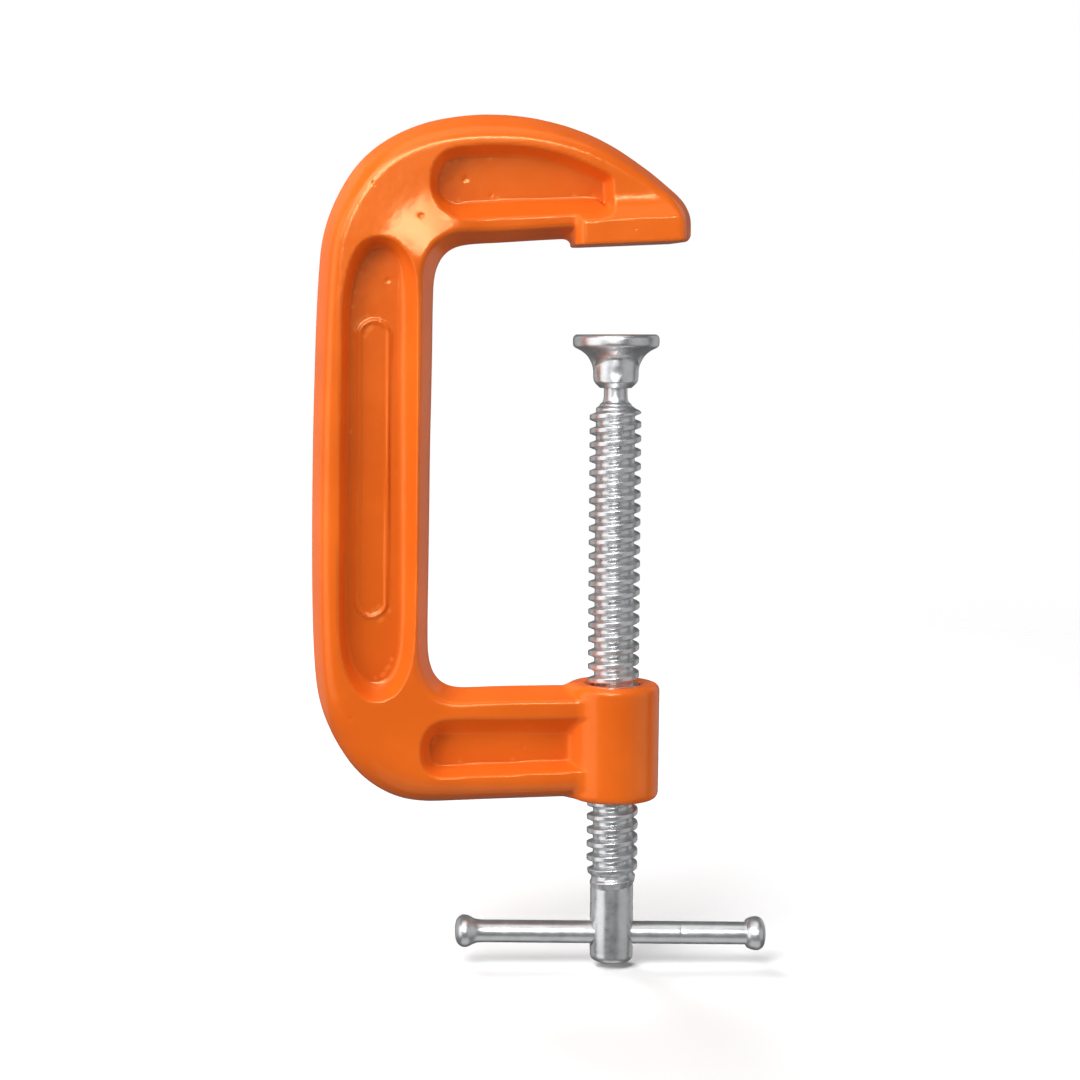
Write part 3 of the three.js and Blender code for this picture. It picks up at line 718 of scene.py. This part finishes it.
def node(ns, kind, **inputs):
    n = ns.new(kind)
    for k, v in inputs.items():
        n.inputs[k.replace("_", " ")].default_value = v
    return n


def paint():
    m, nt, ns, ln, p = nodes_of("orange_enamel")
    tc = ns.new("ShaderNodeTexCoord")
    big = node(ns, "ShaderNodeTexNoise", Scale=38.0, Detail=3.0, Roughness=0.5)
    peel = node(ns, "ShaderNodeTexNoise", Scale=520.0, Detail=2.0, Roughness=0.45)
    fine = node(ns, "ShaderNodeTexNoise", Scale=1700.0, Detail=2.0, Roughness=0.5)
    cast = node(ns, "ShaderNodeTexNoise", Scale=170.0, Detail=3.0, Roughness=0.55)
    pits = node(ns, "ShaderNodeTexVoronoi", Scale=300.0)
    for t in (big, peel, fine, cast, pits):
        ln.new(tc.outputs["Object"], t.inputs["Vector"])
    # colour: slight random drift over the casting; painted highlight: paler, yellower orange on convex edges found
    # by Pointiness, broken up by the casting noise
    ramp = ns.new("ShaderNodeValToRGB")
    ramp.color_ramp.elements[0].position = 0.35
    ramp.color_ramp.elements[0].color = (0.74, 0.122, 0.0095, 1)
    ramp.color_ramp.elements[1].position = 0.68
    ramp.color_ramp.elements[1].color = (0.82, 0.144, 0.0125, 1)
    ln.new(big.outputs["Fac"], ramp.inputs["Fac"])
    geo = ns.new("ShaderNodeNewGeometry")
    edge = node(ns, "ShaderNodeMapRange")
    edge.inputs["From Min"].default_value = 0.53
    edge.inputs["From Max"].default_value = 0.66
    ln.new(geo.outputs["Pointiness"], edge.inputs["Value"])
    painted_edge_highlight = ns.new("ShaderNodeMath")
    painted_edge_highlight.operation = "MULTIPLY"
    ln.new(edge.outputs["Result"], painted_edge_highlight.inputs[0])
    ln.new(cast.outputs["Fac"], painted_edge_highlight.inputs[1])
    # painted edge highlight: mixes the paler, yellower orange onto the convex edges
    edge_highlight_mix = ns.new("ShaderNodeMix")
    edge_highlight_mix.data_type = "RGBA"
    edge_highlight_mix.inputs[7].default_value = (0.92, 0.23, 0.04, 1)
    ln.new(painted_edge_highlight.outputs[0], edge_highlight_mix.inputs[0])
    ln.new(ramp.outputs["Color"], edge_highlight_mix.inputs[6])
    ln.new(edge_highlight_mix.outputs[2], p.inputs["Base Color"])
    # roughness
    rr = node(ns, "ShaderNodeMapRange")
    rr.inputs["To Min"].default_value = 0.17
    rr.inputs["To Max"].default_value = 0.26
    ln.new(cast.outputs["Fac"], rr.inputs["Value"])
    ln.new(rr.outputs["Result"], p.inputs["Roughness"])
    p.inputs["Specular IOR Level"].default_value = 0.62
    p.inputs["Specular Tint"].default_value = (1.0, 0.82, 0.38, 1)
    p.inputs["IOR"].default_value = 1.44
    p.inputs["Coat Weight"].default_value = 0.08
    p.inputs["Coat Roughness"].default_value = 0.14
    # height: casting waviness, orange peel, pinholes and the parting seam at Y = 0
    pit = node(ns, "ShaderNodeMapRange")
    pit.inputs["From Min"].default_value = 0.02
    pit.inputs["From Max"].default_value = 0.13
    ln.new(pits.outputs["Distance"], pit.inputs["Value"])
    gate = node(ns, "ShaderNodeMapRange")
    gate.inputs["From Min"].default_value = 0.60
    gate.inputs["From Max"].default_value = 0.66
    ln.new(big.outputs["Fac"], gate.inputs["Value"])
    inv = ns.new("ShaderNodeMath")
    inv.operation = "SUBTRACT"
    inv.inputs[0].default_value = 1.0
    ln.new(pit.outputs["Result"], inv.inputs[1])
    pg = ns.new("ShaderNodeMath")
    pg.operation = "MULTIPLY"
    ln.new(inv.outputs[0], pg.inputs[0])
    ln.new(gate.outputs["Result"], pg.inputs[1])
    sep = ns.new("ShaderNodeSeparateXYZ")
    ln.new(tc.outputs["Object"], sep.inputs[0])
    ab = ns.new("ShaderNodeMath")
    ab.operation = "ABSOLUTE"
    ln.new(sep.outputs["Y"], ab.inputs[0])
    seam = node(ns, "ShaderNodeMapRange")
    seam.interpolation_type = "SMOOTHSTEP"
    seam.inputs["From Min"].default_value = 0.0009
    seam.inputs["From Max"].default_value = 0.0001
    ln.new(ab.outputs[0], seam.inputs["Value"])

    def mul(sock, k):
        n = ns.new("ShaderNodeMath")
        n.operation = "MULTIPLY"
        n.inputs[1].default_value = k
        ln.new(sock, n.inputs[0])
        return n.outputs[0]

    def add(a, b):
        n = ns.new("ShaderNodeMath")
        n.operation = "ADD"
        ln.new(a, n.inputs[0])
        ln.new(b, n.inputs[1])
        return n.outputs[0]

    h = add(mul(peel.outputs["Fac"], 0.000030), mul(fine.outputs["Fac"], 0.000007))
    h = add(h, mul(cast.outputs["Fac"], 0.00011))
    h = add(h, mul(pg.outputs[0], -0.00012))
    h = add(h, mul(seam.outputs["Result"], 0.00016))
    b = node(ns, "ShaderNodeBump", Strength=1.0, Distance=1.0)
    ln.new(h, b.inputs["Height"])
    ln.new(b.outputs["Normal"], p.inputs["Normal"])
    ln.new(b.outputs["Normal"], p.inputs["Coat Normal"])
    return m


def zinc(name, base, lines_axis, rough=(0.16, 0.30), tint=(0.80, 0.81, 0.82), shade=(0.66, 0.67, 0.68), line_scale=2600.0):
    """Bright zinc plating over turned or drawn steel: fine lines round the axis, cloudy roughness, small nicks."""
    m, nt, ns, ln, p = nodes_of(name)
    p.inputs["Metallic"].default_value = 0.94
    tc = ns.new("ShaderNodeTexCoord")
    mp = ns.new("ShaderNodeMapping")
    mp.inputs["Scale"].default_value = lines_axis
    ln.new(tc.outputs["Object"], mp.inputs["Vector"])
    lines = node(ns, "ShaderNodeTexNoise", Scale=line_scale, Detail=2.0, Roughness=0.6)
    ln.new(mp.outputs["Vector"], lines.inputs["Vector"])
    cloud = node(ns, "ShaderNodeTexNoise", Scale=260.0, Detail=4.0, Roughness=0.6)
    blot = node(ns, "ShaderNodeTexNoise", Scale=900.0, Detail=3.0, Roughness=0.6)
    nick = node(ns, "ShaderNodeTexVoronoi", Scale=420.0)
    for t in (cloud, blot, nick):
        ln.new(tc.outputs["Object"], t.inputs["Vector"])
    ramp = ns.new("ShaderNodeValToRGB")
    ramp.color_ramp.elements[0].position = 0.32
    ramp.color_ramp.elements[0].color = (*shade, 1)
    ramp.color_ramp.elements[1].position = 0.62
    ramp.color_ramp.elements[1].color = (*tint, 1)
    ln.new(cloud.outputs["Fac"], ramp.inputs["Fac"])
    ln.new(ramp.outputs["Color"], p.inputs["Base Color"])
    s = ns.new("ShaderNodeMath")
    s.operation = "ADD"
    ln.new(cloud.outputs["Fac"], s.inputs[0])
    ln.new(blot.outputs["Fac"], s.inputs[1])
    rr = node(ns, "ShaderNodeMapRange")
    rr.inputs["From Min"].default_value = 0.6
    rr.inputs["From Max"].default_value = 1.4
    rr.inputs["To Min"].default_value = rough[0]
    rr.inputs["To Max"].default_value = rough[1]
    ln.new(s.outputs[0], rr.inputs["Value"])
    ln.new(rr.outputs["Result"], p.inputs["Roughness"])
    nk = node(ns, "ShaderNodeMapRange")
    nk.inputs["From Min"].default_value = 0.02
    nk.inputs["From Max"].default_value = 0.14
    ln.new(nick.outputs["Distance"], nk.inputs["Value"])
    terms = []
    for sock, k in ((lines.outputs["Fac"], 0.0000012), (cloud.outputs["Fac"], 0.000014), (blot.outputs["Fac"], 0.0000025), (nk.outputs["Result"], 0.000008)):
        n = ns.new("ShaderNodeMath")
        n.operation = "MULTIPLY"
        n.inputs[1].default_value = k
        ln.new(sock, n.inputs[0])
        terms.append(n.outputs[0])
    h = terms[0]
    for t in terms[1:]:
        n = ns.new("ShaderNodeMath")
        n.operation = "ADD"
        ln.new(h, n.inputs[0])
        ln.new(t, n.inputs[1])
        h = n.outputs[0]
    b = node(ns, "ShaderNodeBump", Strength=1.0, Distance=1.0)
    ln.new(h, b.inputs["Height"])
    ln.new(b.outputs["Normal"], p.inputs["Normal"])
    return m


PAINT = paint()
ZINC_SCREW = zinc("zinc_screw", None, (0.12, 0.12, 1.0), rough=(0.23, 0.37))
ZINC_PAD = zinc("zinc_pad", None, (0.12, 0.12, 1.0), rough=(0.25, 0.38))
ZINC_BAR = zinc("zinc_bar", None, (0.10, 1.0, 1.0), rough=(0.27, 0.38), line_scale=1300.0)

FRAME = make_frame(PAINT)
SCREW = make_screw(ZINC_SCREW)
PAD = make_pad(ZINC_PAD)
BAR = make_bar(ZINC_BAR)
for ob, node_name, body_name, slot in ((FRAME, "frame", "frame", "frame_paint"), (SCREW, "screw", "screw", "screw_plating"),
                                       (PAD, "swivel_pad", "pad", "pad_plating"), (BAR, "sliding_bar", "bar", "bar_plating")):
    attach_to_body(ob, body_name)
    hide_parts(node_name)


# ---------------------------------------------------------------- stage and light

def card(name, centre, size, aim, strength, colour=(1, 1, 1), camera=False, diffuse=False, power=None):
    """A flat panel that faces aim; sizes in metres."""
    me = bpy.data.meshes.new(name)
    w, h = size[0] / 2, size[1] / 2
    me.from_pydata([(-w, -h, 0), (w, -h, 0), (w, h, 0), (-w, h, 0)], [], [(0, 1, 2, 3)])
    ob = bpy.data.objects.new(name, me)
    bpy.context.scene.collection.objects.link(ob)
    ob.location = centre
    ob.rotation_mode = "QUATERNION"
    ob.rotation_quaternion = (Vector(aim) - Vector(centre)).to_track_quat("Z", "Y")
    m = bpy.data.materials.new(name)
    m.use_nodes = True
    ns, ln = m.node_tree.nodes, m.node_tree.links
    ns.remove(ns["Principled BSDF"])
    e = ns.new("ShaderNodeEmission")
    e.inputs["Color"].default_value = (*colour, 1)
    e.inputs["Strength"].default_value = strength
    ln.new(e.outputs[0], ns["Material Output"].inputs["Surface"])
    me.materials.append(m)
    ob.visible_camera = camera
    ob.visible_diffuse = diffuse
    ob.visible_shadow = False
    ob.visible_transmission = False
    return ob


def area(name, loc, aim, size, power, colour=(1, 1, 1), glossy=True, spread=180):
    d = bpy.data.lights.new(name, "AREA")
    d.shape = "RECTANGLE"
    d.size, d.size_y = size
    d.energy = power
    d.color = colour
    d.spread = math.radians(spread)
    ob = bpy.data.objects.new(name, d)
    bpy.context.scene.collection.objects.link(ob)
    ob.location = loc
    ob.rotation_mode = "QUATERNION"
    ob.rotation_quaternion = (Vector(aim) - Vector(loc)).to_track_quat("-Z", "Y")
    ob.visible_glossy = glossy
    ob.visible_camera = False
    return ob


CENTRE = Vector((-0.03, 0.0, -0.08))

# plain pale floor, a millimetre under the lowest point; it fades into the white surround
floor_z = CAD_BOX[0].z - 0.001
me = bpy.data.meshes.new("floor")
g = 1.5
me.from_pydata([(-g, -g, floor_z), (g, -g, floor_z), (g, g, floor_z), (-g, g, floor_z)], [], [(0, 1, 2, 3)])
FLOOR = bpy.data.objects.new("floor", me)
bpy.context.scene.collection.objects.link(FLOOR)
fm = bpy.data.materials.new("floor")
fm.use_nodes = True
fn, fl = fm.node_tree.nodes, fm.node_tree.links
fn["Principled BSDF"].inputs["Base Color"].default_value = (0.86, 0.86, 0.86, 1)
fn["Principled BSDF"].inputs["Roughness"].default_value = 0.9
ftc = fn.new("ShaderNodeTexCoord")
flen = fn.new("ShaderNodeVectorMath")
flen.operation = "LENGTH"
fl.new(ftc.outputs["Object"], flen.inputs[0])
ffade = fn.new("ShaderNodeMapRange")
ffade.interpolation_type = "SMOOTHSTEP"
ffade.inputs["From Min"].default_value = 0.35
ffade.inputs["From Max"].default_value = 0.95
fl.new(flen.outputs["Value"], ffade.inputs["Value"])
ftr = fn.new("ShaderNodeBsdfTransparent")
fmix = fn.new("ShaderNodeMixShader")
fl.new(ffade.outputs["Result"], fmix.inputs[0])
fl.new(fn["Principled BSDF"].outputs[0], fmix.inputs[1])
fl.new(ftr.outputs[0], fmix.inputs[2])
fl.new(fmix.outputs[0], fn["Material Output"].inputs["Surface"])
me.materials.append(fm)
FLOOR.visible_diffuse = FLOOR.visible_glossy = FLOOR.visible_shadow = False

# white surround that only the camera sees
import bmesh
bm = bmesh.new()
bmesh.ops.create_icosphere(bm, subdivisions=3, radius=4.0)
me = bpy.data.meshes.new("surround")
bm.to_mesh(me)
bm.free()
SURROUND = bpy.data.objects.new("surround", me)
bpy.context.scene.collection.objects.link(SURROUND)
sm = bpy.data.materials.new("surround")
sm.use_nodes = True
sn = sm.node_tree.nodes
sn.remove(sn["Principled BSDF"])
se = sn.new("ShaderNodeEmission")
se.inputs["Strength"].default_value = 1.0
sm.node_tree.links.new(se.outputs[0], sn["Material Output"].inputs["Surface"])
me.materials.append(sm)
SURROUND.visible_diffuse = SURROUND.visible_glossy = SURROUND.visible_shadow = SURROUND.visible_transmission = False

world = bpy.data.worlds.new("studio")
world.use_nodes = True
world.node_tree.nodes["Background"].inputs["Color"].default_value = (1, 1, 1, 1)
world.node_tree.nodes["Background"].inputs["Strength"].default_value = 0.12
bpy.context.scene.world = world


def placed(direction, dist):
    return CENTRE + Vector(direction).normalized() * dist


# soft light: a large key above, to the left and in front, two weaker sides, one behind
def soft(name, direction, dist, size, level):
    area(name, placed(direction, dist), CENTRE, size, level * math.pi ** 2 * dist * dist, glossy=False)


soft("key", (-0.45, -0.62, 0.64), 1.7, (0.8, 0.8), 0.57)
soft("left", (-0.86, -0.44, 0.14), 1.5, (0.7, 1.0), 0.70)
soft("top", (-0.20, -0.35, 0.95), 1.6, (0.9, 0.8), 0.46)
soft("right", (0.95, -0.28, 0.0), 1.5, (0.9, 1.0), 0.46)
soft("behind", (-0.35, 0.70, 0.60), 1.7, (0.9, 0.9), 0.90)
soft("below", (0.15, -0.60, -0.78), 1.5, (0.9, 0.9), 0.17)

# panels the plating and the enamel see in reflection only
card("key_panel", placed((-0.46, -0.80, 0.50), 1.5), (0.72, 0.72), CENTRE, 5.4)
card("spot_panel", placed((-0.19, -0.95, 0.255), 1.45), (0.24, 0.20), CENTRE, 25.0)
card("brow_panel", placed((-0.08, -0.91, 0.44), 1.45), (0.74, 0.15), CENTRE, 27.0)
card("left_panel", placed((-0.92, -0.40, 0.05), 1.35), (1.15, 1.5), CENTRE, 1.25)
card("right_panel", placed((0.86, -0.50, 0.0), 1.4), (1.5, 1.5), CENTRE, 0.46)
card("top_panel", placed((-0.10, -0.25, 1.0), 1.4), (1.5, 1.2), CENTRE, 1.1)
card("low_panel", placed((0.0, -0.40, -1.0), 1.3), (1.6, 1.3), CENTRE, 0.60)
card("back_left_panel", placed((-0.80, 0.60, 0.1), 1.5), (1.1, 1.8), CENTRE, 0.45)
card("back_right_panel", placed((0.80, 0.60, 0.1), 1.5), (1.1, 1.8), CENTRE, 0.45)

CAM = bpy.data.cameras.new("camera")
CAM.sensor_width = 36.0
CAM.lens = 70.0
CAM.shift_x = 150.0 / 1080.0
CAM.shift_y = -48.4 / 1080.0
CAM.clip_start, CAM.clip_end = 0.01, 50
cam = bpy.data.objects.new("camera", CAM)
cam.location = (-0.06135, -0.5712, -0.02291)
cam.rotation_euler = (math.radians(90 - 4.40), 0, 0)
bpy.context.scene.collection.objects.link(cam)
bpy.context.scene.camera = cam
bpy.context.scene.view_settings.view_transform = "Standard"
